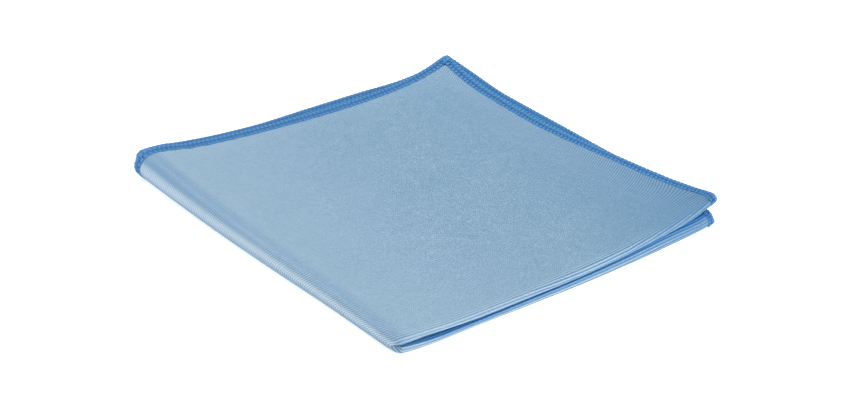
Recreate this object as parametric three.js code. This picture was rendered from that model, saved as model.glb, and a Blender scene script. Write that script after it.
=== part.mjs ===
// A microfibre cloth folded in quarters, in millimetres, +Z up.
//
// The cloth is one sheet with an overlocked edge. The first fold lays it in two layers, and its tips, the
// small rolls of cloth at the crease, lie along -Y. The second fold wraps both layers round the -X side,
// so that four layers lie on each other. They are counted from the top: 1 and 2 lie above the second
// fold, 3 and 4 below it, 1 and 4 are the outer layers, and 2 and 3 the inner ones. The open hems lie
// along +Y and +X, and the upper pair of layers curls up at three of its corners.
//
// A place on the cloth is named by two stations, one across each fold. A station is on the OUTER side of
// the first fold, on its TIP or on the INNER side, and on the LOWER side of the second fold, on its WRAP
// or on the UPPER side. Its share runs from 0 at the fold to 1 at the hem on a side, and from 0 to 1
// round the bend on a tip or a wrap.

import * as THREE from 'three';

const COLOUR = 0x93b1c8;
const FABRIC = 1.0;            // thickness of the knit
const HEM = 1.3;               // thickness of the overlocked edge
const HEM_WIDTH = 5.6;
const HEM_SLOPE = 1.2;         // width over which the hem thins down to the knit
const REST_GAP = 0.45;         // between two layers that lie on each other

const TIP_FADE = 18;           // from a tip to where its two layers lie together
const WRAP_FADE = 22;          // from the wrap to where the layers lie together
const WRAP_DEPTH = 0.9;        // depth of the wrap for each unit of half its height
const WRAP_DEPTH_MOST = 6.6;
const WRAP_X = -98;            // x at which the tables are read on the outermost line of the wrap
const SIDE_FROM_X = -93;       // x at which the upper and lower sides start, near enough to read the tables
const SIDE_TO_X = 96;
const NO_HEM = 200;            // distance to a hem on a bend, where there is none

const OUTER = -1;
const TIP = 0;
const INNER = 1;
const LOWER = -1;
const WRAP = 0;
const UPPER = 1;

const TIP_STEPS = 6;
const WRAP_STEPS = 10;
const SIDE_SHARES = [0, 0.015, 0.035, 0.07, 0.11, 0.17, 0.27, 0.4, 0.55, 0.7, 0.82, 0.91, 0.965, 0.972, 1];

// Rows from the second fold to the +X hems: how far out the tips reach and how tall they are in the upper
// and the lower pair of layers, and the y of each layer's far hem.
const ALONG_X = [
  { x: -98, tipUpper: -97.4, tipLower: -97.4, tallUpper: 3.35, tallLower: 3.35, hem1: 98.6, hem2: 103.2, hem3: 100.0, hem4: 101.0 },
  { x: -96, tipUpper: -99.5, tipLower: -99.6, tallUpper: 3.3, tallLower: 3.3, hem1: 98.5, hem2: 103.3, hem3: 99.9, hem4: 101.0 },
  { x: -93, tipUpper: -100.7, tipLower: -101.1, tallUpper: 3.15, tallLower: 3.15, hem1: 98.4, hem2: 103.4, hem3: 99.8, hem4: 100.9 },
  { x: -88, tipUpper: -101.2, tipLower: -102.0, tallUpper: 2.8, tallLower: 2.8, hem1: 98.3, hem2: 103.6, hem3: 99.5, hem4: 100.8 },
  { x: -78, tipUpper: -101.7, tipLower: -102.8, tallUpper: 2.4, tallLower: 2.5, hem1: 98.0, hem2: 104.0, hem3: 99.0, hem4: 100.5 },
  { x: -57, tipUpper: -103.0, tipLower: -103.0, tallUpper: 2.5, tallLower: 2.4, hem1: 97.8, hem2: 103.5, hem3: 98.5, hem4: 100.0 },
  { x: -28, tipUpper: -103.6, tipLower: -103.6, tallUpper: 2.8, tallLower: 2.8, hem1: 98.0, hem2: 103.9, hem3: 98.0, hem4: 99.5 },
  { x: 8, tipUpper: -104.0, tipLower: -104.4, tallUpper: 3.7, tallLower: 3.4, hem1: 98.2, hem2: 106.6, hem3: 98.0, hem4: 99.0 },
  { x: 40, tipUpper: -103.8, tipLower: -104.4, tallUpper: 3.7, tallLower: 4.7, hem1: 98.6, hem2: 106.4, hem3: 99.0, hem4: 99.5 },
  { x: 66, tipUpper: -103.0, tipLower: -103.4, tallUpper: 3.2, tallLower: 5.9, hem1: 99.9, hem2: 103.6, hem3: 100.0, hem4: 100.0 },
  { x: 84, tipUpper: -102.4, tipLower: -102.4, tallUpper: 3.0, tallLower: 6.6, hem1: 101.2, hem2: 102.2, hem3: 99.5, hem4: 100.5 },
  { x: 97, tipUpper: -101.8, tipLower: -101.2, tallUpper: 2.6, tallLower: 6.9, hem1: 102.8, hem2: 102.6, hem3: 99.5, hem4: 101.0 },
];

// Rows from the tips to the +Y hems: how far out the wrap reaches, how tall it is, the gap between its two
// layers, and the x of each layer's far hem.
const ALONG_Y = [
  { y: -103, wrap: -96.0, tall: 7.2, gap: 0.5, hem1: 91.8, hem2: 91.6, hem3: 91.8, hem4: 92.6 },
  { y: -97, wrap: -97.0, tall: 7.3, gap: 0.5, hem1: 93.6, hem2: 93.2, hem3: 92.8, hem4: 93.4 },
  { y: -82, wrap: -97.5, tall: 7.7, gap: 0.5, hem1: 96.2, hem2: 95.6, hem3: 93.5, hem4: 94.0 },
  { y: -50, wrap: -98.3, tall: 8.8, gap: 0.6, hem1: 96.0, hem2: 96.0, hem3: 95.5, hem4: 95.0 },
  { y: -20, wrap: -99.7, tall: 10.0, gap: 0.7, hem1: 95.4, hem2: 99.0, hem3: 96.5, hem4: 95.5 },
  { y: 20, wrap: -101.0, tall: 11.3, gap: 0.8, hem1: 93.8, hem2: 101.6, hem3: 97.5, hem4: 96.0 },
  { y: 60, wrap: -101.4, tall: 13.0, gap: 0.9, hem1: 95.0, hem2: 101.8, hem3: 97.5, hem4: 96.0 },
  { y: 85, wrap: -101.4, tall: 14.6, gap: 1.0, hem1: 94.8, hem2: 100.8, hem3: 97.0, hem4: 96.0 },
  { y: 103, wrap: -101.2, tall: 15.4, gap: 1.0, hem1: 96.0, hem2: 97.6, hem3: 96.5, hem4: 96.0 },
];

// Height of the top face, by rows of x and columns of y.
const TOP_COLUMNS = { tips: -104, quarter: -60, middle: 0, threeQuarters: 60, hems: 102 };
const TOP = [
  { x: -98, tips: 7.2, quarter: 8.6, middle: 10.8, threeQuarters: 13.0, hems: 15.4 },
  { x: -60, tips: 6.2, quarter: 6.0, middle: 6.9, threeQuarters: 8.5, hems: 11.4 },
  { x: -20, tips: 6.7, quarter: 5.9, middle: 6.0, threeQuarters: 6.8, hems: 8.8 },
  { x: 20, tips: 8.3, quarter: 6.3, middle: 5.8, threeQuarters: 6.2, hems: 7.8 },
  { x: 60, tips: 10.2, quarter: 7.9, middle: 6.0, threeQuarters: 6.5, hems: 8.8 },
  { x: 97, tips: 11.8, quarter: 9.6, middle: 6.9, threeQuarters: 7.4, hems: 10.4 },
];

// Corners of the upper layers that curl up further.
const CURLS = [
  { x: 97, y: -103, lift: 6.2, reach: 40 },
  { x: 96, y: 102, lift: 5.4, reach: 44 },
];

const mix = (a, b, share) => a + (b - a) * share;

// The slope of a curve through points at uneven places, from the points on either side.
function slopeAt(places, values, i) {
  const last = places.length - 1;
  const rise = (from, to) => (values[to] - values[from]) / (places[to] - places[from]);
  if (i === 0) return rise(0, 1);
  if (i === last) return rise(last - 1, last);
  const before = places[i] - places[i - 1];
  const after = places[i + 1] - places[i];
  return (before * rise(i, i + 1) + after * rise(i - 1, i)) / (before + after);
}

// A smooth curve through the given values, level past both ends.
function curveThrough(places, values) {
  const slopes = places.map((_, i) => slopeAt(places, values, i));
  return (at) => {
    const place = THREE.MathUtils.clamp(at, places[0], places[places.length - 1]);
    const next = Math.max(1, places.findIndex((p) => p >= place));
    const span = places[next] - places[next - 1];
    const t = (place - places[next - 1]) / span;
    const rest = 1 - t;
    const start = (1 + 2 * t) * rest * rest * values[next - 1] + t * rest * rest * span * slopes[next - 1];
    const end = t * t * (3 - 2 * t) * values[next] - t * t * rest * span * slopes[next];
    return start + end;
  };
}

// One smooth curve for each named column of a table whose rows run along x or y.
function columnCurves(table, axis) {
  const places = table.map((row) => row[axis]);
  const names = Object.keys(table[0]).filter((name) => name !== axis);
  const curves = names.map((name) => [name, curveThrough(places, table.map((row) => row[name]))]);
  return Object.fromEntries(curves);
}

const alongX = columnCurves(ALONG_X, 'x');
const alongY = columnCurves(ALONG_Y, 'y');
const topAlongX = columnCurves(TOP, 'x');

function topHeight(x, y) {
  const values = Object.keys(TOP_COLUMNS).map((name) => topAlongX[name](x));
  const level = curveThrough(Object.values(TOP_COLUMNS), values)(y);
  const curl = ({ x: cx, y: cy, lift, reach }) => lift * Math.max(0, 1 - Math.hypot(x - cx, y - cy) / reach) ** 2;
  return CURLS.reduce((height, corner) => height + curl(corner), level);
}

// Where a station lies across the first fold. Turn is 1 on the outer side and -1 on the inner one.
function acrossFirstFold(station, upper, tableX) {
  const tip = mix(alongX.tipLower(tableX), alongX.tipUpper(tableX), upper);
  const tall = mix(alongX.tallLower(tableX), alongX.tallUpper(tableX), upper);
  const radius = (tall - FABRIC) / 2;
  const start = tip + FABRIC / 2 + radius;
  if (station.side === TIP) {
    const angle = (0.5 - station.share) * Math.PI;
    return { y: start - radius * Math.cos(angle), turn: Math.sin(angle), tip, tall, radius, toHem: NO_HEM };
  }
  const outerHem = mix(alongX.hem4(tableX), alongX.hem1(tableX), upper);
  const innerHem = mix(alongX.hem3(tableX), alongX.hem2(tableX), upper);
  const hem = station.side === OUTER ? outerHem : innerHem;
  const toHem = (1 - station.share) * (hem - start);
  return { y: hem - toHem, turn: -station.side, tip, tall, radius, toHem };
}

// The middle of the sheet at a pair of stations, with its thickness there.
function clothAt(acrossFirst, acrossSecond) {
  const { side, share } = acrossSecond;
  const angle = (share - 0.5) * Math.PI;
  const upper = side === WRAP ? (1 + Math.sin(angle)) / 2 : (1 + side) / 2;
  const wrapX = mix(WRAP_X, SIDE_FROM_X, Math.sin(angle) ** 2);
  const tableX = side === WRAP ? wrapX : mix(SIDE_FROM_X, SIDE_TO_X, share);
  const { y, turn, tip, tall, radius, toHem } = acrossFirstFold(acrossFirst, upper, tableX);

  const wrapTall = alongY.tall(y);
  const depth = Math.min((WRAP_DEPTH * (wrapTall - FABRIC)) / 2, WRAP_DEPTH_MOST);
  const sideStart = alongY.wrap(y) + FABRIC / 2 + depth;
  const inner = (1 - turn) / 2;
  const outerHem = side === UPPER ? alongY.hem1(y) : alongY.hem4(y);
  const innerHem = side === UPPER ? alongY.hem2(y) : alongY.hem3(y);
  const length = mix(outerHem, innerHem, inner) - sideStart;
  const x = side === WRAP ? sideStart : sideStart + share * length;
  const toSideHem = side === WRAP ? NO_HEM : (1 - share) * length;

  const hemShare = 1 - THREE.MathUtils.smoothstep(Math.min(toHem, toSideHem), HEM_WIDTH, HEM_WIDTH + HEM_SLOPE);
  const thickness = mix(FABRIC, HEM, hemShare);
  const nearWrap = 1 - THREE.MathUtils.smoothstep(x, sideStart, sideStart + WRAP_FADE);
  const nearTip = 1 - THREE.MathUtils.smoothstep(y - tip - radius, 0, TIP_FADE);
  const wrapGap = (alongY.gap(y) - REST_GAP) * nearWrap * (1 - nearTip);
  const upperTall = side === WRAP ? alongX.tallUpper(tableX) : tall;
  const pairGap = REST_GAP + (upperTall - 2 * FABRIC - REST_GAP) * nearTip + wrapGap;

  const top = mix(topHeight(x, y), wrapTall, nearWrap);
  const layer1 = top - thickness / 2;
  const layer2 = layer1 - thickness - pairGap;
  const layer4 = thickness / 2;
  const layer3 = layer4 + thickness + pairGap;
  const outer = { x, z: mix(layer4, layer1, upper) };
  const within = { x, z: mix(layer3, layer2, upper) };
  if (side === WRAP) {
    outer.x -= depth * Math.cos(angle);
    within.x -= (depth - FABRIC - pairGap) * Math.cos(angle);
  }
  const middle = new THREE.Vector3(mix(outer.x, within.x, inner), y, mix(outer.z, within.z, inner));
  return { middle, thickness };
}

// Stations from the hem of one side, round the bend, to the hem of the other side.
function stations(bendSteps) {
  const side = (name) => SIDE_SHARES.map((share) => ({ side: name, share }));
  const bend = Array.from({ length: bendSteps - 1 }, (_, i) => ({ side: 0, share: (i + 1) / bendSteps }));
  return [...side(-1).reverse(), ...bend, ...side(1)];
}

// The direction of a row of points at one of them, from its two neighbours.
function tangent(before, here, after) {
  const into = here.clone().sub(before).normalize();
  const outOf = after.clone().sub(here).normalize();
  return into.add(outOf);
}

// The sheet's two faces, as grids of points half a thickness to either side of its middle.
function sheetFaces(grid) {
  const at = (i, j) => {
    const row = grid[THREE.MathUtils.clamp(i, 0, grid.length - 1)];
    return row[THREE.MathUtils.clamp(j, 0, row.length - 1)].middle;
  };
  const face = (sign) => grid.map((row, i) => row.map(({ middle, thickness }, j) => {
    const along = tangent(at(i - 1, j), middle, at(i + 1, j));
    const across = tangent(at(i, j - 1), middle, at(i, j + 1));
    const normal = along.cross(across).normalize();
    return middle.clone().addScaledVector(normal, (sign * thickness) / 2);
  }));
  return [face(1), face(-1)];
}

// One closed solid from the two faces of the sheet and the narrow wall round its hem.
function closedSheet(grid) {
  const rows = grid.length;
  const columns = grid[0].length;
  const faces = sheetFaces(grid);
  const positions = faces.flat(2).flatMap((point) => point.toArray());
  const index = (face, i, j) => face * rows * columns + i * columns + j;
  const triangles = [];
  const addQuad = (a, b, c, d) => triangles.push(a, b, c, a, c, d);
  for (let i = 0; i < rows - 1; i += 1) {
    for (let j = 0; j < columns - 1; j += 1) {
      addQuad(index(0, i, j), index(0, i + 1, j), index(0, i + 1, j + 1), index(0, i, j + 1));
      addQuad(index(1, i, j), index(1, i, j + 1), index(1, i + 1, j + 1), index(1, i + 1, j));
    }
  }
  const addWall = (i, j, nextI, nextJ) => {
    addQuad(index(0, nextI, nextJ), index(0, i, j), index(1, i, j), index(1, nextI, nextJ));
  };
  for (let i = 0; i < rows - 1; i += 1) {
    addWall(i, 0, i + 1, 0);
    addWall(i + 1, columns - 1, i, columns - 1);
  }
  for (let j = 0; j < columns - 1; j += 1) {
    addWall(0, j + 1, 0, j);
    addWall(rows - 1, j, rows - 1, j + 1);
  }
  const geometry = new THREE.BufferGeometry();
  geometry.setAttribute('position', new THREE.Float32BufferAttribute(positions, 3));
  geometry.setIndex(triangles);
  return geometry;
}

// Puts the origin at the middle of the footprint, on the surface that the cloth lies on.
function standOnOrigin(geometry) {
  geometry.computeBoundingBox();
  const { min, max } = geometry.boundingBox;
  geometry.translate(-(min.x + max.x) / 2, -(min.y + max.y) / 2, -min.z);
}

function clothMesh() {
  const acrossFirst = stations(TIP_STEPS);
  const acrossSecond = stations(WRAP_STEPS);
  const grid = acrossFirst.map((first) => acrossSecond.map((second) => clothAt(first, second)));
  const geometry = closedSheet(grid);
  standOnOrigin(geometry);
  geometry.computeVertexNormals();
  const material = new THREE.MeshStandardMaterial({ color: COLOUR, roughness: 0.95, metalness: 0 });
  const mesh = new THREE.Mesh(geometry, material);
  mesh.name = 'cloth';
  return mesh;
}

const model = new THREE.Group();
model.add(clothMesh());

export default model;
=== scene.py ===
import math

import bpy
import numpy as np
from mathutils import Matrix, Vector


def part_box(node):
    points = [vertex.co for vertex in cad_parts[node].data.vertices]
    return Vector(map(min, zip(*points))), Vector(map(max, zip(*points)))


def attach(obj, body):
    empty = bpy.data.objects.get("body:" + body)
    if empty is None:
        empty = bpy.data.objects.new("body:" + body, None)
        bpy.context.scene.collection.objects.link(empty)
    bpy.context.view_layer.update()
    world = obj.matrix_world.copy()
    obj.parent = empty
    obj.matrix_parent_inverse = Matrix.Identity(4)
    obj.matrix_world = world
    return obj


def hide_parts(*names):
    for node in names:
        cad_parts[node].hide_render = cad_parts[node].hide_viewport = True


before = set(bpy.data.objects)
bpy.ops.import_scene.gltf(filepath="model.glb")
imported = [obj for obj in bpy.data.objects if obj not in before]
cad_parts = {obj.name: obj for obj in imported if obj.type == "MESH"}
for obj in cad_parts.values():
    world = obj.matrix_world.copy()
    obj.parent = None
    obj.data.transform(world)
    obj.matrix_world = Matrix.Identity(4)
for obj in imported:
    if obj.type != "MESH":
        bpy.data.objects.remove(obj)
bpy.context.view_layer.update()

# A microfibre cloth folded in quarters: the ribbed knit as one closed sheet on the folds of its solid, and
# the overlock stitches round its cut edge. Sizes are in millimetres, and points become metres as a mesh is
# made.
#
# A place on the cloth is named by two shares of its cut size. "Across" runs from the hem of the outer
# layers, round the tips of the first fold, to the hem of the inner layers. "Along" runs from the hem of the
# lower pair of layers, over the wrap of the second fold, to the hem of the upper pair. Layers are counted
# from the top: 1 and 2 are the upper pair, 3 and 4 the lower one, 1 and 4 are outer and 2 and 3 inner.

MM = 0.001
SEED = 11

CLOTH_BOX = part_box("cloth")

# ---------------------------------------------------------------------------------------------------------
# The folds, with the solid's sizes but for a rounder right corner and fuller tips by the wrap
# ---------------------------------------------------------------------------------------------------------

FABRIC = 1.0                # thickness of the knit
HEM = 1.3                   # thickness over the overlock stitches
HEM_WIDTH = 5.6
HEM_SLOPE = 1.2             # width over which the hem thins down to the knit
REST_GAP = 0.45             # between two layers that lie on each other

TIP_FADE = 18               # from a tip to where its two layers lie together
WRAP_FADE = 22              # from the wrap to where the layers lie together
WRAP_DEPTH = 0.9            # depth of the wrap for each unit of half its height
WRAP_DEPTH_MOST = 6.6
WRAP_X = -98                # x at which the tables are read on the outermost line of the wrap
SIDE_FROM_X = -93           # and where the upper and lower sides start and end
SIDE_TO_X = 96

CUT_ACROSS = 407.0          # the cut cloth, from hem to hem
CUT_ALONG = 396.0
CORNER = 3.0                # radius of its corners
LOWER_END = 0.475           # where the wrap starts and ends, as shares along the cloth
UPPER_START = 0.525
NORMAL_STEP = 0.2           # to either side of a place, to find which way the sheet faces there

# Rows from the second fold to the +X hems: how far out the tips reach and how tall they are in the upper
# and the lower pair of layers, and the y of each layer's far hem.
ALONG_X_COLUMNS = ("x", "tip_upper", "tip_lower", "tall_upper", "tall_lower", "hem1", "hem2", "hem3", "hem4")
ALONG_X = (
    (-98, -97.4, -97.4, 3.45, 3.45, 98.6, 103.2, 100.0, 101.0),
    (-96, -99.5, -99.6, 3.42, 3.42, 98.5, 103.3, 99.9, 101.0),
    (-93, -100.7, -101.1, 3.35, 3.35, 98.4, 103.4, 99.8, 100.9),
    (-88, -101.2, -102.0, 3.1, 3.15, 98.3, 103.6, 99.5, 100.8),
    (-78, -101.7, -102.8, 2.6, 2.7, 98.0, 104.0, 99.0, 100.5),
    (-57, -103.0, -103.0, 2.5, 2.4, 97.8, 103.5, 98.5, 100.0),
    (-28, -103.6, -103.6, 2.8, 2.8, 98.0, 103.9, 98.0, 99.5),
    (8, -104.0, -104.4, 3.7, 3.4, 98.2, 106.6, 98.0, 99.0),
    (40, -103.8, -104.4, 3.7, 4.7, 98.6, 106.4, 99.0, 99.5),
    (66, -103.0, -103.4, 3.2, 5.9, 99.9, 103.6, 100.0, 100.0),
    (84, -102.4, -102.4, 3.0, 6.6, 101.2, 102.2, 99.5, 100.5),
    (97, -101.8, -101.2, 2.6, 6.9, 102.8, 102.6, 99.5, 101.0),
)

# Rows from the tips to the +Y hems: how far out the wrap reaches, how tall it is, the gap between its two
# layers, and the x of each layer's far hem.
ALONG_Y_COLUMNS = ("y", "wrap", "tall", "gap", "hem1", "hem2", "hem3", "hem4")
ALONG_Y = (
    (-103, -96.0, 7.2, 0.5, 90.4, 90.6, 89.2, 92.6),
    (-97, -97.0, 7.3, 0.5, 93.6, 93.2, 91.4, 93.4),
    (-82, -97.5, 7.7, 0.5, 96.2, 95.6, 93.5, 94.0),
    (-50, -98.3, 8.8, 0.6, 96.0, 96.0, 95.5, 95.0),
    (-20, -99.7, 10.0, 0.7, 95.4, 99.0, 96.5, 95.5),
    (20, -101.0, 11.3, 0.8, 93.8, 101.6, 97.5, 96.0),
    (60, -101.4, 13.0, 0.9, 95.0, 101.8, 97.5, 96.0),
    (85, -101.4, 14.6, 1.0, 94.8, 100.8, 97.0, 96.0),
    (103, -101.2, 15.4, 1.0, 96.0, 97.6, 96.5, 96.0),
)

# Height of the top face, by rows of x and columns of y.
TOP_Y = (-104, -60, 0, 60, 102)
TOP = (
    (-98, 7.2, 8.6, 10.8, 13.0, 15.4),
    (-60, 6.2, 6.0, 6.9, 8.5, 11.4),
    (-20, 6.7, 5.9, 6.0, 6.8, 8.8),
    (20, 8.3, 6.3, 5.8, 6.2, 7.8),
    (60, 10.2, 7.9, 6.0, 6.5, 8.8),
    (97, 11.8, 9.6, 6.9, 7.4, 10.4),
)

# Corners of the upper layers that curl up further: x, y, lift, reach.
CURLS = (
    (97, -103, 6.2, 40),
    (96, 102, 5.4, 44),
)

# Soft dips and ridges of the upper layers: x, y, turn of the long way from x in degrees, half its length,
# half its width, height.
CREASES = (
    (28, 64, 20, 16, 10, -0.40),
    (32, -17, 60, 22, 9, -0.35),
    (40, -62, 10, 24, 9, -0.30),
    (-40, 29, 75, 24, 8, -0.35),
    (-47, -16, 70, 20, 9, -0.30),
    (-8, 20, 40, 30, 14, 0.25),
    (5, -60, 15, 26, 12, 0.25),
    (62, 24, 95, 30, 8, -0.30),
    (-15, 74, 5, 26, 7, 0.20),
)


def mix(a, b, share):
    return a + (b - a) * share


def smooth_step(value, start, end):
    share = np.clip((value - start) / (end - start), 0, 1)
    return share * share * (3 - 2 * share)


def unit(vectors):
    return vectors / np.linalg.norm(vectors, axis=-1, keepdims=True)


def taken(array, index):
    """The entries of a row at each index, or of each column of a table."""
    return np.take_along_axis(array, index[None], 0)[0] if array.ndim > 1 else array[index]


def hermite(places, values, slopes, at):
    """A smooth curve through values at uneven places, level past both ends."""
    at = np.clip(at, places[0], places[-1])
    before = np.clip(np.searchsorted(places, at, side="right") - 1, 0, len(places) - 2)
    span = places[before + 1] - places[before]
    t = (at - places[before]) / span
    rest = 1 - t
    start = (1 + 2 * t) * rest**2 * taken(values, before) + t * rest**2 * span * taken(slopes, before)
    end = t**2 * (3 - 2 * t) * taken(values, before + 1) - t**2 * rest * span * taken(slopes, before + 1)
    return start + end


def column_curves(columns, rows):
    """One smooth curve for each named column of a table, by its first column."""
    table = np.array(rows, float).T
    places = table[0]

    def curve(values):
        slopes = np.gradient(values, places)
        return lambda at: hermite(places, values, slopes, np.asarray(at, float))

    return {name: curve(values) for name, values in zip(columns[1:], table[1:])}


along_x = column_curves(ALONG_X_COLUMNS, ALONG_X)
along_y = column_curves(ALONG_Y_COLUMNS, ALONG_Y)
top_along_x = column_curves(("x", *TOP_Y), TOP)


def top_height(x, y):
    """Height of the top face, with its curled corners and soft creases."""
    places = np.array(TOP_Y, float)
    values = np.array([top_along_x[place](x) for place in TOP_Y])
    slopes = np.gradient(values, places, axis=0)
    height = hermite(places, values, slopes, np.asarray(y, float))
    for corner_x, corner_y, lift, reach in CURLS:
        away = np.hypot(x - corner_x, y - corner_y)
        height = height + lift * np.maximum(0, 1 - away / reach) ** 2
    for crease_x, crease_y, turn, length, width, lift in CREASES:
        dx, dy, angle = x - crease_x, y - crease_y, math.radians(turn)
        long_way = (dx * math.cos(angle) + dy * math.sin(angle)) / length
        short_way = (dy * math.cos(angle) - dx * math.sin(angle)) / width
        height = height + lift * np.exp(-(long_way**2 + short_way**2))
    return height


def across_first_fold(across, upper, table_x):
    """Where a share across the cloth lies: its y, which way it faces and how near it is to a hem or a tip."""
    tip = mix(along_x["tip_lower"](table_x), along_x["tip_upper"](table_x), upper)
    tall = mix(along_x["tall_lower"](table_x), along_x["tall_upper"](table_x), upper)
    radius = (tall - FABRIC) / 2
    start = tip + FABRIC / 2 + radius
    outer_leg = mix(along_x["hem4"](table_x), along_x["hem1"](table_x), upper) - start
    inner_leg = mix(along_x["hem3"](table_x), along_x["hem2"](table_x), upper) - start
    bend = math.pi * radius
    whole = outer_leg + bend + inner_leg
    walked = across * whole
    angle = np.clip((walked - outer_leg) / radius, 0, math.pi)
    on_outer = np.maximum(outer_leg - walked, 0)
    on_inner = np.maximum(walked - outer_leg - bend, 0)
    y = start + on_outer + on_inner - radius * np.sin(angle)
    return {
        "y": y,
        "turn": np.cos(angle),
        "to_hem": np.minimum(walked, whole - walked),
        "from_tip": y - start,
        "past_bend": on_outer + on_inner,
        "tall": tall,
    }


def cloth_at(across, along):
    """The middle of the sheet at two shares, with how near it is to the hems and how far it is bent."""
    angle = (np.clip((along - LOWER_END) / (UPPER_START - LOWER_END), 0, 1) - 0.5) * math.pi
    upper = (1 + np.sin(angle)) / 2
    side_share = np.maximum(np.maximum(1 - along / LOWER_END, (along - UPPER_START) / (1 - UPPER_START)), 0)
    wrap_x = mix(WRAP_X, SIDE_FROM_X, np.sin(angle) ** 2)
    table_x = np.where(side_share > 0, mix(SIDE_FROM_X, SIDE_TO_X, side_share), wrap_x)
    first = across_first_fold(across, upper, table_x)
    y = first["y"]

    wrap_tall = along_y["tall"](y)
    depth = np.minimum(WRAP_DEPTH * (wrap_tall - FABRIC) / 2, WRAP_DEPTH_MOST)
    side_start = along_y["wrap"](y) + FABRIC / 2 + depth
    inner = (1 - first["turn"]) / 2
    outer_hem = np.where(along > 0.5, along_y["hem1"](y), along_y["hem4"](y))
    inner_hem = np.where(along > 0.5, along_y["hem2"](y), along_y["hem3"](y))
    length = mix(outer_hem, inner_hem, inner) - side_start
    x = side_start + side_share * length
    to_hem = np.minimum(first["to_hem"], (1 - side_share) * length)

    thickness = mix(HEM, FABRIC, smooth_step(to_hem, HEM_WIDTH, HEM_WIDTH + HEM_SLOPE))
    near_wrap = 1 - smooth_step(x, side_start, side_start + WRAP_FADE)
    near_tip = 1 - smooth_step(first["from_tip"], 0, TIP_FADE)
    wrap_gap = (along_y["gap"](y) - REST_GAP) * near_wrap * (1 - near_tip)
    pair_gap = REST_GAP + (first["tall"] - 2 * FABRIC - REST_GAP) * near_tip + wrap_gap

    top = mix(top_height(x, y), wrap_tall, near_wrap)
    layer1 = top - thickness / 2
    layer2 = layer1 - thickness - pair_gap
    layer4 = thickness / 2
    layer3 = layer4 + thickness + pair_gap
    bulge = np.where(side_share > 0, 0, np.cos(angle))
    outer_x = x - depth * bulge
    inner_x = x - (depth - FABRIC - pair_gap) * bulge
    middle_x = mix(outer_x, inner_x, inner)
    middle_z = mix(mix(layer4, layer1, upper), mix(layer3, layer2, upper), inner)
    return {
        "middle": np.stack(np.broadcast_arrays(middle_x, y, middle_z), -1),
        "to_hem": to_hem,
        "past_bend": first["past_bend"],
        "turn": first["turn"],
        "bulge": bulge,
    }


def cloth_frame(across, along):
    """The middle of the sheet and its outward normal at two shares."""

    def middle(turn_across, turn_along):
        near_across = across + turn_across * NORMAL_STEP / CUT_ACROSS
        near_along = along + turn_along * NORMAL_STEP / CUT_ALONG
        return cloth_at(near_across, near_along)["middle"]

    normal = unit(np.cross(middle(1, 0) - middle(-1, 0), middle(0, 1) - middle(0, -1)))
    return cloth_at(across, along)["middle"], normal


# ---------------------------------------------------------------------------------------------------------
# Meshes
# ---------------------------------------------------------------------------------------------------------

FOOTPRINT_COLUMNS = 400
FOOTPRINT_ROWS = 300


def footprint_shift():
    """From the tables' frame to the CAD frame, whose origin is the middle of the footprint."""
    columns = np.linspace(0, 1, FOOTPRINT_COLUMNS)
    rows = np.linspace(0, 1, FOOTPRINT_ROWS)
    across, along = np.meshgrid(columns, rows, indexing="ij")
    middle, normal = cloth_frame(across, along)
    reach = np.concatenate([middle + normal * FABRIC / 2, middle - normal * FABRIC / 2]).reshape(-1, 3)
    centre = (reach.min(0) + reach.max(0)) / 2
    cad_centre = (np.array(CLOTH_BOX[0]) + np.array(CLOTH_BOX[1])) / 2 / MM
    return np.array([cad_centre[0] - centre[0], cad_centre[1] - centre[1], 0])


def make_piece(name, points, faces, corner_uv, material):
    """A mesh object with smooth faces and a UV map, from points in millimetres."""
    mesh = bpy.data.meshes.new(name)
    mesh.from_pydata(((points + SHIFT) * MM).tolist(), [], faces)
    mesh.shade_smooth()
    layer = mesh.uv_layers.new(name="UVMap")
    order = np.empty(len(mesh.loops), int)
    mesh.loops.foreach_get("vertex_index", order)
    layer.data.foreach_set("uv", corner_uv[order].astype(np.float32).ravel())
    mesh.materials.append(material)
    mesh.validate()
    piece = bpy.data.objects.new(name, mesh)
    bpy.context.collection.objects.link(piece)
    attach(piece, "root")
    return piece


# ---------------------------------------------------------------------------------------------------------
# The knit
# ---------------------------------------------------------------------------------------------------------

RIBS = 278                  # ribs across the cut cloth, which run along it
RIB_POINTS = 4              # columns of points for each rib, on the outer face
TIP_RIB_POINTS = 8          # and for each rib near the tips
TIP_RIBS = 9                # ribs on either side of the tips with those closer columns
RIB_DEPTH = 0.10            # depth of the groove between two ribs
OPEN_RIB_DEPTH = 0.26       # and where the knit is stretched over a bend
BEND_RIBS = 0.3             # ribs that crowd in on either side of a tip
RIB_DRIFT = 0.5             # ribs by which they drift from the lower half to the upper
DRIFT_FROM = 0.3            # and where that starts and ends, as shares along the cloth
DRIFT_TO = 0.7
GROOVE_SHARPNESS = 2        # 1 for a groove as wide as its rib, more for a narrower one
HEM_KNIT = 0.7              # thickness of the knit under the stitches
OPEN_ROUND_TIP = 4.5        # from a tip to where its ribs close again
OPEN_ON_WRAP = 0.75         # how far the ribs stand open on the wrap, from 0 to 1
OPEN_BY_HEM = 0.55          # and beside a hem
OPEN_HEM_FROM = HEM_WIDTH + 2
OPEN_HEM_TO = HEM_WIDTH + 12

# The inward faces of the tips get painted shade in deeper blue, past a turn that is later by the wrap.
WITHIN_FROM = 0.55
WITHIN_FROM_BY_WRAP = 0.9
BY_WRAP_X = -92
PAST_WRAP_X = -76

# Rows of points from the fold to the hem, as shares of a side, and round the wrap.
SIDE_SHARES = (0, 0.018, 0.04, 0.07, 0.11, 0.16, 0.22, 0.29, 0.37, 0.45, 0.53, 0.61, 0.69, 0.76,
               0.82, 0.87, 0.905, 0.93, 0.95, 0.966, 0.978, 0.988, 0.995, 1)
WRAP_ROWS = 14


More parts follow.
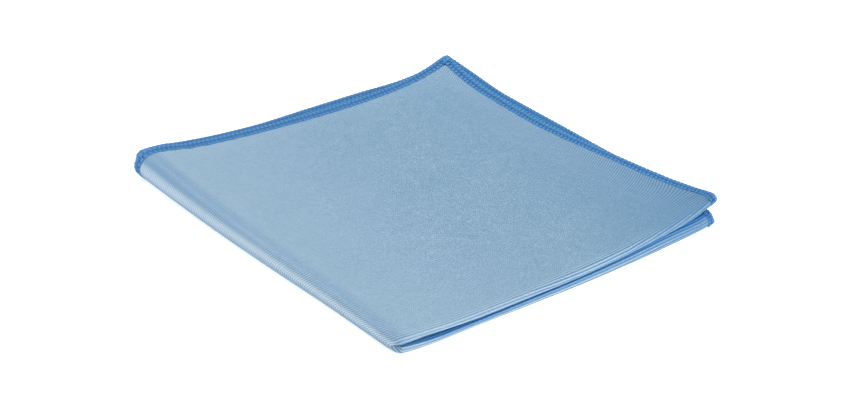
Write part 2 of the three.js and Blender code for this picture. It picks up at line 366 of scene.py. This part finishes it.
def rib_columns():
    """Shares across the cloth for the outer face, and which of them the inner face has too."""
    places = []
    for rib in range(RIBS):
        near_tip = abs(rib + 0.5 - RIBS / 2) < TIP_RIBS
        count = TIP_RIB_POINTS if near_tip else RIB_POINTS
        places.extend(rib + i / count for i in range(count))
    places.append(RIBS)
    places = np.array(places)
    shared = np.flatnonzero(places == np.round(places))
    return places / RIBS, shared


def row_places():
    """Shares along the cloth for the rows of points."""
    shares = np.array(SIDE_SHARES)
    lower = LOWER_END * (1 - shares[::-1])
    wrap = np.linspace(LOWER_END, UPPER_START, WRAP_ROWS + 1)[1:-1]
    upper = UPPER_START + (1 - UPPER_START) * shares
    return np.concatenate([lower, wrap, upper])


def openness(place):
    """How far the ribs stand apart, from 0 on the flat to 1 where the knit is stretched over a bend."""
    round_tip = 1 - smooth_step(place["past_bend"], 0, OPEN_ROUND_TIP)
    over_wrap = OPEN_ON_WRAP * place["bulge"]
    by_hem = OPEN_BY_HEM * (1 - smooth_step(place["to_hem"], OPEN_HEM_FROM, OPEN_HEM_TO))
    return np.maximum.reduce([round_tip, over_wrap, by_hem])


def rounded(across, along):
    """Shares of the cloth with its square corners drawn in to round ones."""
    size = np.array([CUT_ACROSS, CUT_ALONG])
    from_middle = np.stack([across, along], -1) * size - size / 2
    straight = size / 2 - CORNER
    past = np.maximum(np.abs(from_middle) - straight, 0)
    reach = np.maximum(np.linalg.norm(past, axis=-1, keepdims=True), 1e-9)
    scale = np.where((past > 0).all(-1, keepdims=True), past.max(-1, keepdims=True) / reach, 1)
    drawn_in = np.sign(from_middle) * (np.minimum(np.abs(from_middle), straight) + past * scale)
    shares = (drawn_in + size / 2) / size
    return shares[..., 0], shares[..., 1]


def wall_faces(outer, inner, shared):
    """Faces between one border of the outer and inner faces, where the inner one may have fewer points."""
    faces = []
    for k in range(len(shared) - 1):
        run = outer[shared[k]:shared[k + 1] + 1]
        faces.append([*run[::-1], inner[k], inner[k + 1]])
    return faces


def grid_faces(index):
    """Four-sided faces between the neighbours of a grid of point numbers."""
    corners = np.stack([index[:-1, :-1], index[1:, :-1], index[1:, 1:], index[:-1, 1:]], -1)
    return corners.reshape(-1, 4).tolist()


def knit_sheet(material):
    """The whole cloth as one closed sheet, ribbed on its outer face."""
    columns, shared = rib_columns()
    rows = row_places()
    across, along = np.meshgrid(columns, rows, indexing="ij")
    place = cloth_at(*rounded(across, along))
    middle, normal = cloth_frame(*rounded(across, along))
    opened = openness(place)
    past_wrap = smooth_step(place["middle"][..., 0], BY_WRAP_X, PAST_WRAP_X)
    shaded_within = smooth_step(-place["turn"], mix(WITHIN_FROM_BY_WRAP, WITHIN_FROM, past_wrap), 1)

    in_hem = 1 - smooth_step(place["to_hem"], HEM_WIDTH - HEM_SLOPE, HEM_WIDTH)
    half = mix(FABRIC, HEM_KNIT, in_hem)[..., None] / 2
    drift = RIB_DRIFT * smooth_step(along, DRIFT_FROM, DRIFT_TO)
    rib = across * RIBS - BEND_RIBS * place["turn"] + drift
    groove = ((1 + np.cos(rib * 2 * math.pi)) / 2) ** GROOVE_SHARPNESS
    cut = (mix(RIB_DEPTH, OPEN_RIB_DEPTH, opened) * groove * (1 - in_hem))[..., None]
    outer = middle + normal * (half - cut)
    inner = (middle - normal * half)[shared]

    outer_index = np.arange(outer[..., 0].size).reshape(outer.shape[:2])
    inner_index = outer_index.size + np.arange(inner[..., 0].size).reshape(inner.shape[:2])
    faces = grid_faces(outer_index)
    faces += grid_faces(inner_index[:, ::-1])
    faces += wall_faces(outer_index[:, 0], inner_index[:, 0], shared)
    faces += [face[::-1] for face in wall_faces(outer_index[:, -1], inner_index[:, -1], shared)]
    every = np.arange(len(rows))
    faces += [face[::-1] for face in wall_faces(outer_index[0], inner_index[0], every)]
    faces += wall_faces(outer_index[-1], inner_index[-1], every)

    points = np.concatenate([outer.reshape(-1, 3), inner.reshape(-1, 3)])
    shares = np.stack([across, along], -1)
    uv = np.concatenate([shares.reshape(-1, 2), shares[shared].reshape(-1, 2)])
    piece = make_piece("knit", points, faces, uv, material)
    for name, values in (("openness", opened), ("shaded_within", shaded_within), ("rib", rib)):
        attribute = piece.data.attributes.new(name, "FLOAT", "POINT")
        every_point = np.concatenate([values.ravel(), values[shared].ravel()])
        attribute.data.foreach_set("value", every_point.astype(np.float32))
    return piece


# ---------------------------------------------------------------------------------------------------------
# The overlock stitches
# ---------------------------------------------------------------------------------------------------------

STITCH = 2.5                # from one stitch to the next
EDGE_STEP = 0.5             # between points on the edge
CORNER_POINTS = 9
THREAD_HALF_WIDTH = 0.56
THREAD_HALF_HEIGHT = 0.24
THREAD_SIDES = 6
PRESSED_FLAT = 0.03         # no thread reaches lower, where the cloth's weight is on it
NEEDLE_HALF_WIDTH = 0.24
NEEDLE_LINE = 5.2           # from the edge to the row of needle holes
NARROWED = 0.35             # share of their reach that the stitches lose at the tips of the far hems
NARROWS_FROM = 0.86         # and where that starts, from 0 at the side hems to 1 at the tips
THREAD_HEIGHT = 0.41        # from the middle of the cloth to the middle of a thread on it
STITCH_WANDER = 0.32        # how far a stitch may reach past or short of the needle line
STITCH_SWAY = 0.07          # and how far it may lean, as a share of a stitch
UNDER_OFFSET = 0.5          # how far the inner face's stitches are ahead, as a share of a stitch
NEEDLE_OFFSET = 0.47        # and the needle's
UNDER_FACE = 3              # added to the second UV of the thread on the cloth's inner face

# One stitch of the looper thread that covers a face: share of the stitch along the edge, reach from the
# edge to the needle line, and height above the middle of the cloth.
LOOPER_PATH = (
    (0.00, -0.10, -0.15),
    (0.05, -0.07, 0.55),
    (0.12, 0.12, 0.92),
    (0.22, 0.45, 1.00),
    (0.33, 0.80, 1.00),
    (0.42, 1.00, 0.88),
    (0.52, 1.03, 0.82),
    (0.62, 0.86, 0.96),
    (0.74, 0.50, 0.98),
    (0.86, 0.16, 0.90),
    (0.95, -0.05, 0.45),
)

# One stitch of the needle thread, which dips into its hole.
NEEDLE_PATH = (
    (0.00, 1.00, 0.30),
    (0.18, 1.00, 1.05),
    (0.50, 1.00, 1.30),
    (0.82, 1.00, 1.05),
)


def cut_outline():
    """Points round the cut edge with rounded corners, as shares of the cloth."""
    size = np.array([CUT_ACROSS, CUT_ALONG])
    turns = np.linspace(0, math.pi / 2, CORNER_POINTS)
    corners = ((1, 0), (1, 1), (0, 1), (0, 0))
    points = []
    for number, corner in enumerate(corners):
        centre = np.array([mix(CORNER, size[i] - CORNER, corner[i]) for i in (0, 1)])
        angles = turns + (number - 1) * math.pi / 2
        points.append(centre + CORNER * np.stack([np.cos(angles), np.sin(angles)], -1))
    points = np.concatenate([*points, points[0][:1]])
    walked = np.concatenate([[0], np.cumsum(np.linalg.norm(np.diff(points, axis=0), axis=1))])
    at = np.arange(0, walked[-1], EDGE_STEP)
    return np.stack([np.interp(at, walked, points[:, i]) for i in (0, 1)], -1) / size


class Edge:
    """The cloth's edge as a line in space, with the ways inwards and off the cloth at each place on it.

    The way inwards is a little short at the tips, where the stitches are narrower."""

    def __init__(self):
        shares = cut_outline()
        self.points, self.normals = cloth_frame(shares[:, 0], shares[:, 1])
        ahead = np.roll(self.points, -1, 0) - np.roll(self.points, 1, 0)
        self.inwards = unit(np.cross(self.normals, ahead))
        near_tip = 1 - np.abs(shares[:, :1] - 0.5) * 2
        self.inwards = self.inwards * (1 - NARROWED * smooth_step(near_tip, NARROWS_FROM, 1))
        steps = np.linalg.norm(np.diff(self.points, axis=0, append=self.points[:1]), axis=1)
        self.walked = np.concatenate([[0], np.cumsum(steps)])

    def length(self):
        return self.walked[-1]

    def at(self, walked, field):
        values = np.concatenate([field, field[:1]])
        places = np.mod(walked, self.length())
        return np.stack([np.interp(places, self.walked, values[:, i]) for i in range(3)], -1)

    def point(self, walked, reach, height):
        line = self.at(walked, self.points)
        inwards = self.at(walked, self.inwards) * reach[:, None]
        return line + inwards + self.at(walked, self.normals) * height[:, None]


def thread_path(edge, stitches, path, face, sway, wander, offset):
    """Points of one thread over a run of stitches, on one face of the cloth."""
    share, reach, height = (np.array(column)[None] for column in zip(*path))
    number = stitches[:, None]
    pitch = edge.length() / round(edge.length() / STITCH)
    middle = np.clip(reach, 0, 1)
    walked = (number + offset + share + sway[stitches][:, None] * middle) * pitch
    reach = reach * (NEEDLE_LINE + wander[stitches][:, None] * middle)
    height = face * height * THREAD_HEIGHT * np.ones_like(walked)
    turns = number + np.arange(len(path))[None] / len(path)
    return edge.point(walked.ravel(), reach.ravel(), height.ravel()), walked.ravel(), turns.ravel()


def thread_tube(edge, points, walked, turns, half_width, half_height, sides):
    """A closed tube of oval section round a path that lies on the cloth."""
    ahead = unit(np.gradient(points, axis=0))
    up = unit(edge.at(walked, edge.normals))
    side = unit(np.cross(up, ahead))
    up = np.cross(ahead, side)
    angle = np.arange(sides) * 2 * math.pi / sides
    ring = side[:, None] * (np.cos(angle) * half_width)[None, :, None]
    ring = ring + up[:, None] * (np.sin(angle) * half_height)[None, :, None]
    tube = points[:, None] + ring
    tube[..., 2] = np.maximum(tube[..., 2], PRESSED_FLAT)
    index = np.arange(len(points) * sides).reshape(len(points), sides)
    wrapped = np.concatenate([index, index[:, :1]], 1)
    faces = grid_faces(wrapped[:, ::-1])
    faces += [index[0].tolist(), index[-1][::-1].tolist()]
    uv = np.stack(np.broadcast_arrays(turns[:, None], np.sin(angle)[None]), -1)
    return tube.reshape(-1, 3), faces, uv.reshape(-1, 2)


def join_parts(parts):
    """One list of points, faces and UVs from several."""
    points, faces, uvs, start = [], [], [], 0
    for part_points, part_faces, part_uvs in parts:
        points.append(part_points)
        uvs.append(part_uvs)
        faces += [[start + i for i in face] for face in part_faces]
        start += len(part_points)
    return np.concatenate(points), faces, np.concatenate(uvs)


def overlock_runs(material):
    """The stitches round the whole edge, as one piece for each quarter of it."""
    edge = Edge()
    count = round(edge.length() / STITCH)
    draw = np.random.default_rng(SEED)
    sway = draw.uniform(-STITCH_SWAY, STITCH_SWAY, count)
    wander = draw.uniform(-STITCH_WANDER, STITCH_WANDER, count)
    looper = (THREAD_HALF_WIDTH, THREAD_HALF_HEIGHT, THREAD_SIDES)
    needle = (NEEDLE_HALF_WIDTH, NEEDLE_HALF_WIDTH, THREAD_SIDES)
    threads = (
        (LOOPER_PATH, 1, 0.0, looper),
        (LOOPER_PATH, -1, UNDER_OFFSET, looper),
        (NEEDLE_PATH, 1, NEEDLE_OFFSET, needle),
    )
    pieces = []
    for quarter, stitches in enumerate(np.array_split(np.arange(count), 4)):
        parts = []
        for path, face, offset, section in threads:
            run = thread_path(edge, stitches, path, face, sway, wander, offset)
            tube, faces, uv = thread_tube(edge, *run, *section)
            uv[:, 1] += UNDER_FACE * (face < 0)
            parts.append((tube, faces, uv))
        pieces.append(make_piece(f"overlock_{quarter + 1}", *join_parts(parts), material))
    return pieces


# ---------------------------------------------------------------------------------------------------------
# Materials
# ---------------------------------------------------------------------------------------------------------

class Value:
    """A socket that holds a number, so that sums written in Python become Math nodes."""

    def __init__(self, shader, socket):
        self.shader = shader
        self.socket = socket

    def maths(self, operation, *values):
        return self.shader.node("ShaderNodeMath", {"operation": operation}, dict(enumerate(values)))

    def __add__(self, other):
        return self.maths("ADD", self, other)

    def __sub__(self, other):
        return self.maths("SUBTRACT", self, other)

    def __rsub__(self, other):
        return self.maths("SUBTRACT", other, self)

    def __mul__(self, other):
        return self.maths("MULTIPLY", self, other)

    def __pow__(self, power):
        return self.maths("POWER", self, power)

    __radd__ = __add__
    __rmul__ = __mul__


def cosine(value):
    return value.maths("COSINE", value)


def sine(value):
    return value.maths("SINE", value)


def fraction(value):
    return value.maths("FRACT", value)


def absolute(value):
    return value.maths("ABSOLUTE", value)


def smallest(value, other):
    return value.maths("MINIMUM", value, other)


def largest(value, other):
    return value.maths("MAXIMUM", value, other)


def clamped(value):
    return smallest(largest(value, 0), 1)


class Shader:
    """A material's nodes, each made by one call."""

    def __init__(self, name, roughness, sheen=0.0, sheen_roughness=0.5, specular=0.25):
        self.material = bpy.data.materials.new(name)
        self.material.use_nodes = True
        self.nodes = self.material.node_tree.nodes
        self.links = self.material.node_tree.links
        self.surface = self.nodes["Principled BSDF"]
        self.surface.inputs["Roughness"].default_value = roughness
        self.surface.inputs["Sheen Weight"].default_value = sheen
        self.surface.inputs["Sheen Roughness"].default_value = sheen_roughness
        self.surface.inputs["Specular IOR Level"].default_value = specular

    def connect(self, value, socket):
        if isinstance(value, Value):
            self.links.new(value.socket, socket)
        else:
            socket.default_value = value

    def node(self, kind, settings, sockets, output=0):
        node = self.nodes.new(kind)
        for name, value in settings.items():
            setattr(node, name, value)
        for name, value in sockets.items():
            self.connect(value, node.inputs[name])
        return Value(self, node.outputs[output])

    def shares(self):
        """The two shares of the UV map."""
        uv = self.node("ShaderNodeTexCoord", {}, {}, "UV")
        split = self.node("ShaderNodeSeparateXYZ", {}, {"Vector": uv}, "X")
        return split, Value(self, split.socket.node.outputs["Y"])

    def attribute(self, name):
        return self.node("ShaderNodeAttribute", {"attribute_name": name}, {}, "Fac")

    def noise(self, scale, detail=2.0, roughness=0.5):
        place = self.node("ShaderNodeTexCoord", {}, {}, "Object")
        sockets = {"Vector": place, "Scale": scale, "Detail": detail, "Roughness": roughness}
        return self.node("ShaderNodeTexNoise", {}, sockets, "Fac")

    def blend(self, a, b, share):
        """A colour between two colours."""
        return self.node("ShaderNodeMix", {"data_type": "RGBA"}, {0: share, 6: a, 7: b}, 2)

    def limited(self, value, low, high):
        """0 below low and 1 above high, smooth between."""
        settings = {"interpolation_type": "SMOOTHSTEP"}
        return self.node("ShaderNodeMapRange", settings, {"Value": value, "From Min": low, "From Max": high})

    def bump(self, height, distance, strength=0.8):
        """Fine relief, in metres."""
        sockets = {"Height": height, "Distance": distance, "Strength": strength}
        self.connect(self.node("ShaderNodeBump", {}, sockets), self.surface.inputs["Normal"])


# The knit's own colour is KNIT_RIDGE; the other knit colours are painted sheen, highlight and shade laid over
# it, and the paler and darker tones of its grain.
KNIT_RIDGE = (0.188, 0.305, 0.404, 1)
KNIT_LINT_AND_SHEEN = (0.340, 0.450, 0.540, 1)
KNIT_CROWN_HIGHLIGHT = (0.480, 0.570, 0.650, 1)
KNIT_GRAIN_AND_GROOVE_SHADE = (0.035, 0.165, 0.350, 1)
KNIT_SHADE = (0.020, 0.140, 0.300, 1)
KNIT_WITHIN_SHADE = (0.030, 0.220, 0.500, 1)
KNIT_DEEP_SHADE = (0.010, 0.120, 0.360, 1)
KNIT_HEM_SHADE = (0.020, 0.100, 0.260, 1)
# The yarn's lit and shaded sides, its painted shade along the hem's middle, and its paler thread on the inner
# face as painted light.
YARN_LIT_SIDE = (0.065, 0.240, 0.500, 1)
YARN_SHADED_SIDE = (0.018, 0.135, 0.340, 1)
YARN_MIDDLE_SHADE = (0.006, 0.060, 0.190, 1)
YARN_UNDER_LIT = (0.120, 0.420, 0.750, 1)

RIB_PITCH = CUT_ACROSS / RIBS
LOOPS = 360                 # knitted loops along each rib
LOOP_SLANT = 0.9            # how far a loop leans from the middle of its rib to its side, in loops
GATHERED = 36               # from the far hems to where the ribs are no longer gathered
GATHERS_LEAN = 0.7          # how far they lean at the hem

FINE_GRAIN = 1300           # scales of the pile's grain, in lumps for each metre
MOTTLED_GRAIN = 260
SOFT_GRAIN = 38
KNIT_RELIEF = 0.00008       # height of the loops and the pile, in metres

CROWN = 0.5050              # the painted highlight along the wrap, and half its width, as shares along the cloth
CROWN_HALF_WIDTH = 0.0075
CROWN_DROP = 0.0030         # how much lower it lies by the outer hem
BY_OUTER_HEM = (0.02, 0.30) # shares across the cloth between which that comes to nothing

TWISTS = 18                 # turns of the yarn's twist in one stitch
TWIST_SLANT = 0.25
LEGS_MIDDLE = 0.52          # a stitch's two legs cross the middle of the hem at this share of the stitch,
LEGS_APART = 0.22           # less or more this one
YARN_GRAIN = 1500
YARN_RELIEF = 0.0001


def knit_material():
    """Ribs of small slanted loops, with painted shade of deeper blue in the grooves and under the stitches.
    """
    shader = Shader("ribbed knit", roughness=0.5, sheen=0.1, sheen_roughness=0.35, specular=0.4)
    across, along = shader.shares()
    from_fold = absolute(along - 0.5) * 2
    near_tip = 1 - absolute(across - 0.5) * 2

    # The stitches of the far hems gather the ribs, which stand open there and lean over.
    gathered = largest(GATHERED - (1 - from_fold) * (CUT_ALONG / 2), 0)
    gathered = smallest(gathered, GATHERED - HEM_WIDTH)
    opened = gathered * shader.limited(near_tip, 0.1, 0.8) * (1 / (GATHERED - HEM_WIDTH))
    opened = largest(shader.attribute("openness"), opened)
    leaning = gathered * gathered * (1 - shader.limited(near_tip, 0.80, 0.96))
    phase = shader.attribute("rib") + leaning * (GATHERS_LEAN / 2 / GATHERED / RIB_PITCH)
    groove = (cosine(phase * (2 * math.pi)) * 0.5 + 0.5) ** (GROOVE_SHARPNESS - opened * 0.8)
    off_middle = absolute(fraction(phase) - 0.5)
    loop = sine((along * LOOPS + off_middle * LOOP_SLANT) * (2 * math.pi)) * 0.5 + 0.5

    # Painted sheen makes the ridges paler where the ribs stand open, painted shade makes the grooves deeper
    # blue, and a grain of loops and pile lies over both.
    fine = shader.noise(FINE_GRAIN, 2.0, 0.6) - 0.5
    mottled = shader.noise(MOTTLED_GRAIN, 3.0, 0.6) - 0.5
    soft = shader.noise(SOFT_GRAIN, 3.0) - 0.5
    colour = shader.blend(KNIT_RIDGE, KNIT_LINT_AND_SHEEN, opened * 0.8)
    depth = shader.blend(KNIT_GRAIN_AND_GROOVE_SHADE, KNIT_SHADE, opened)
    colour = shader.blend(colour, depth, groove * (opened * 0.60 + 0.38))
    shade = (fine * 2.0 + mottled * 0.5 + soft * 0.2 + (loop - 0.5) * 0.4) * (1 - opened * 0.7)
    colour = shader.blend(colour, KNIT_GRAIN_AND_GROOVE_SHADE, clamped(shade * -1))
    colour = shader.blend(colour, KNIT_LINT_AND_SHEEN, clamped(shade))

    # Painted light makes the knit paler by the second fold, and painted shade makes it darker by the far
    # hems, most of all at their tips.
    colour = shader.blend(colour, KNIT_LINT_AND_SHEEN, (1 - shader.limited(from_fold, 0.05, 0.60)) * 0.30)
    corner = near_tip * near_tip * 0.9 + 0.1
    colour = shader.blend(colour, KNIT_SHADE, shader.limited(from_fold, 0.55, 1.0) * corner * 0.58)

    # A painted highlight runs along the wrap's crown, with painted shade to either side.
    by_hem = 1 - shader.limited(across, *BY_OUTER_HEM)
    from_crown = absolute(along - CROWN + by_hem * CROWN_DROP)
    crown_highlight = 1 - shader.limited(from_crown, 0, CROWN_HALF_WIDTH)
    colour = shader.blend(colour, KNIT_CROWN_HIGHLIGHT, crown_highlight * (0.75 - groove * 0.65) * (1 - by_hem * 0.3))
    crown_shade = shader.limited(from_crown, CROWN_HALF_WIDTH * 0.6, CROWN_HALF_WIDTH * 1.3)
    crown_shade = crown_shade * (1 - shader.limited(from_crown, CROWN_HALF_WIDTH * 2.5, CROWN_HALF_WIDTH * 5))
    colour = shader.blend(colour, KNIT_SHADE, crown_shade * (groove * 0.3 + by_hem * 0.22 + 0.14))

    # Painted shade in deeper blue where the knit turns in at the tips.
    shaded_within = shader.attribute("shaded_within")
    colour = shader.blend(colour, KNIT_WITHIN_SHADE, shaded_within * 0.85)
    colour = shader.blend(colour, KNIT_DEEP_SHADE, shaded_within * groove * 0.5)

    # Painted shade in deeper blue on the cloth between the stitches, up to a line with rounded corners.
    round_at = NEEDLE_LINE + CORNER
    short_across = largest(round_at - smallest(across, 1 - across) * CUT_ACROSS, 0)
    short_along = largest(round_at - smallest(along, 1 - along) * CUT_ALONG, 0)
    to_hem = round_at - (short_across * short_across + short_along * short_along) ** 0.5
    to_hem = to_hem + shader.limited(near_tip, NARROWS_FROM, 1) * (NARROWED * NEEDLE_LINE)
    colour = shader.blend(KNIT_HEM_SHADE, colour, shader.limited(to_hem, NEEDLE_LINE - 0.4, NEEDLE_LINE + 0.3))
    shader.connect(colour, shader.surface.inputs["Base Color"])
    shader.bump(loop * 0.5 + fine * 0.8 - groove * 0.35, KNIT_RELIEF)
    return shader.material


def yarn_material():
    """Soft twisted yarn, darker low down and along the middle of the hem as painted shade, and paler on the
    inner face as painted light.
    """
    shader = Shader("overlock yarn", roughness=0.8, sheen=0.05)
    turns, top = shader.shares()
    under = shader.limited(top, 1, UNDER_FACE - 1)
    top = top - under * UNDER_FACE
    twist = sine((turns * TWISTS + top * TWIST_SLANT) * (2 * math.pi)) * 0.5 + 0.5
    to_middle = absolute(absolute(fraction(turns) - LEGS_MIDDLE) - LEGS_APART)
    fine = shader.noise(YARN_GRAIN, 2.0, 0.6)
    # Painted shade: the yarn goes from its lit colour on top to its shaded colour low down, broken by its
    # twist and grain.
    light = shader.limited(top + (fine - 0.5) * 1.2 + (twist - 0.5) * 0.5, -0.6, 1.1)
    colour = shader.blend(YARN_SHADED_SIDE, YARN_LIT_SIDE, light)
    # Painted light: the looper thread on the cloth's inner face is paler.
    colour = shader.blend(colour, YARN_UNDER_LIT, under * 0.3)
    # Painted shade along the middle of the hem, where the stitch's two legs cross.
    colour = shader.blend(YARN_MIDDLE_SHADE, colour, shader.limited(to_middle, 0, 0.07) * 0.6 + 0.4)
    shader.connect(colour, shader.surface.inputs["Base Color"])
    shader.bump(twist * 0.6 + fine, YARN_RELIEF)
    return shader.material


FLOOR_GREY = (0.58, 0.58, 0.58, 1)
FLOOR_WHITE = (0.62, 0.62, 0.62, 1)
FLOOR_GRAIN = 40
FLOOR_GLOW = 1.2            # the floor is lit from below too, as on a light table


def floor_material():
    """A white floor with a faint grain."""
    shader = Shader("pale floor", roughness=0.9)
    white = shader.blend(FLOOR_GREY, FLOOR_WHITE, shader.noise(FLOOR_GRAIN, 2.0))
    shader.connect(white, shader.surface.inputs["Base Color"])
    shader.connect(white, shader.surface.inputs["Emission Color"])
    shader.surface.inputs["Emission Strength"].default_value = FLOOR_GLOW
    return shader.material


# ---------------------------------------------------------------------------------------------------------
# The studio
# ---------------------------------------------------------------------------------------------------------

CAMERA_AZIMUTH = -39.4
CAMERA_ELEVATION = 28.1
CAMERA_ROLL = 1.46
CAMERA_DISTANCE = 0.872
CAMERA_TARGET = (-0.0035, -0.0057, 0.0)
CAMERA_LENS = 77.14
CAMERA_CLIP = 0.01

FLOOR_SIZE = 6
WORLD_STRENGTH = 0.25

# Soft square lights that face the cloth: name, place, size, power.
PANELS = (
    ("front_right", (0.10, -1.03, 0.36), 0.6, 6.5),
    ("left", (-0.73, 0.66, 0.12), 0.4, 4),
    ("front_left", (-0.95, -0.40, 0.20), 0.5, 2),
    ("right", (0.79, -0.65, 0.60), 0.6, 6),
    ("back_left", (-0.12, 0.77, 0.77), 0.6, 6.5),
    ("overhead", (0.10, 0.10, 1.20), 0.8, 6),
)


def camera():
    """The scene's camera, low over the front corner and turned a little on its own axis."""
    azimuth, elevation, roll = (math.radians(a) for a in (CAMERA_AZIMUTH, CAMERA_ELEVATION, CAMERA_ROLL))
    back = Vector((
        math.sin(azimuth) * math.cos(elevation),
        -math.cos(azimuth) * math.cos(elevation),
        math.sin(elevation),
    ))
    right = (-back).cross(Vector((0, 0, 1))).normalized()
    up = right.cross(-back)
    turned_right = right * math.cos(roll) + up * math.sin(roll)
    turned_up = up * math.cos(roll) - right * math.sin(roll)
    data = bpy.data.cameras.new("camera")
    data.lens = CAMERA_LENS
    data.clip_start = CAMERA_CLIP
    view = bpy.data.objects.new("camera", data)
    turn = Matrix((turned_right, turned_up, back)).transposed().to_4x4()
    view.matrix_world = Matrix.Translation(Vector(CAMERA_TARGET) + back * CAMERA_DISTANCE) @ turn
    bpy.context.collection.objects.link(view)
    bpy.context.scene.camera = view


def panel(name, place, size, power):
    """One soft light."""
    data = bpy.data.lights.new(name, "AREA")
    data.shape = "SQUARE"
    data.size = size
    data.energy = power
    light = bpy.data.objects.new(name, data)
    light.location = place
    light.rotation_euler = Vector(place).to_track_quat("Z", "Y").to_euler()
    bpy.context.collection.objects.link(light)


def studio():
    """The floor and all the light."""
    bpy.ops.mesh.primitive_plane_add(size=FLOOR_SIZE)
    floor = bpy.context.object
    floor.name = "floor"
    floor.data.materials.append(floor_material())
    for name, place, size, power in PANELS:
        panel(name, place, size, power)
    world = bpy.data.worlds.new("soft white")
    world.use_nodes = True
    background = world.node_tree.nodes["Background"]
    background.inputs["Color"].default_value = (1, 1, 1, 1)
    background.inputs["Strength"].default_value = WORLD_STRENGTH
    bpy.context.scene.world = world
    bpy.context.scene.view_settings.view_transform = "Standard"
    return floor


camera()
floor = studio()
SHIFT = footprint_shift()
knit = knit_sheet(knit_material())
stitching = overlock_runs(yarn_material())

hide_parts("cloth")
